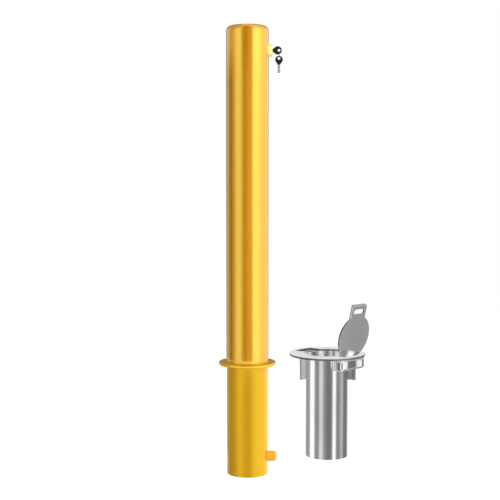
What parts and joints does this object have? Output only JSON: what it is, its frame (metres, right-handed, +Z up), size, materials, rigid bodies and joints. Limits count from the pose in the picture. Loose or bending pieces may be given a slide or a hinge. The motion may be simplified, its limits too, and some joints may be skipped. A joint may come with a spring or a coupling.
{
  "type": "locking bollard",
  "caption": "Removable round bollard post with a key lock and a side bolt, with its stainless ground receiver and hinged lid.",
  "frame": {"origin": "on the post's axis at its foot, where the post stands on the floor", "axes": "+Z up along the post, +X towards the lock and the bolt, +Y to the back"},
  "size_m": [0.4266, 0.3775, 1.214],
  "materials": {
    "yellow_paint": "gloss",
    "bolt_paint": "gloss",
    "lock_chrome": "polished",
    "black_plastic": "gloss",
    "nickel": "satin",
    "plain_steel": "zinc plated",
    "stainless": "satin",
    "polished_stainless": "polished",
    "lid_stainless": "matte"
  },
  "bodies": {
    "post_and_receiver": {"post_tube": "yellow_paint", "foot_tube": "yellow_paint", "top_cap": "yellow_paint", "collar_plate": "yellow_paint", "end_plate": "plain_steel", "lock_boss": "yellow_paint", "lock_housing": "lock_chrome", "lock_nut": "plain_steel", "rod_guide_lower": "plain_steel", "rod_guide_middle": "plain_steel", "rod_guide_upper": "plain_steel", "bolt_bush": "plain_steel", "receiver_tube": "stainless", "receiver_flange": "stainless", "seat_ring": "stainless", "hinge_well": "polished_stainless", "tab_tray": "stainless", "keeper_box": "stainless", "anchor_left": "stainless", "anchor_right": "stainless", "hinge_lug_front": "stainless", "hinge_lug_rear": "stainless", "hinge_pin": "stainless"},
    "key_set": {"lock_plug": "lock_chrome", "lock_cam": "plain_steel", "crank_pin": "plain_steel", "cam_screw": "plain_steel", "key_bow": "black_plastic", "key_blade": "nickel"},
    "rod_set": {"lift_rod": "plain_steel", "yoke_plate": "plain_steel", "wedge_plate": "plain_steel", "rod_pins": "plain_steel", "rod_stop": "plain_steel", "stop_screw": "plain_steel"},
    "bolt_set": {"lock_bolt": "bolt_paint", "bolt_pin": "plain_steel"},
    "lid_set": {"lid_plate": "lid_stainless", "hinge_arm_front": "lid_stainless", "hinge_arm_rear": "lid_stainless"},
    "ring": {"key_ring": "nickel"},
    "spare_key": {"spare_key_bow": "black_plastic", "spare_key_blade": "nickel"}
  },
  "joints": [
    {"name": "key_turn", "type": "hinge", "parent": "post_and_receiver", "child": "key_set", "pos_m": [0.05, 0, 1.147], "axis": [-1, 0, 0], "range_deg": [0, 90]},
    {"name": "rod_lift", "type": "slide", "parent": "post_and_receiver", "child": "rod_set", "axis": [0, 0, 1], "range_m": [0, 0.02517]},
    {"name": "bolt_throw", "type": "slide", "parent": "post_and_receiver", "child": "bolt_set", "axis": [-1, 0, 0], "range_m": [0, 0.02517]},
    {"name": "lid_hinge", "type": "hinge", "parent": "post_and_receiver", "child": "lid_set", "pos_m": [0.28248, 0.13852, 0.288], "axis": [0.7071, 0.7071, 0], "range_deg": [-103, 0]},
    {"name": "ring_swing", "type": "hinge", "parent": "key_set", "child": "ring", "pos_m": [0.08475, 0, 1.147], "axis": [0, -1, 0], "range_deg": [-12, 40]},
    {"name": "spare_key_swing", "type": "hinge", "parent": "ring", "child": "spare_key", "pos_m": [0.08475, 0, 1.1258], "axis": [0, -1, 0], "range_deg": [-12, 40]}
  ],
  "couplings": [
    {"joint": "key_turn", "follows": "rod_lift", "rad_per_m": 62.4},
    {"joint": "bolt_throw", "follows": "rod_lift", "ratio": 1}
  ]
}
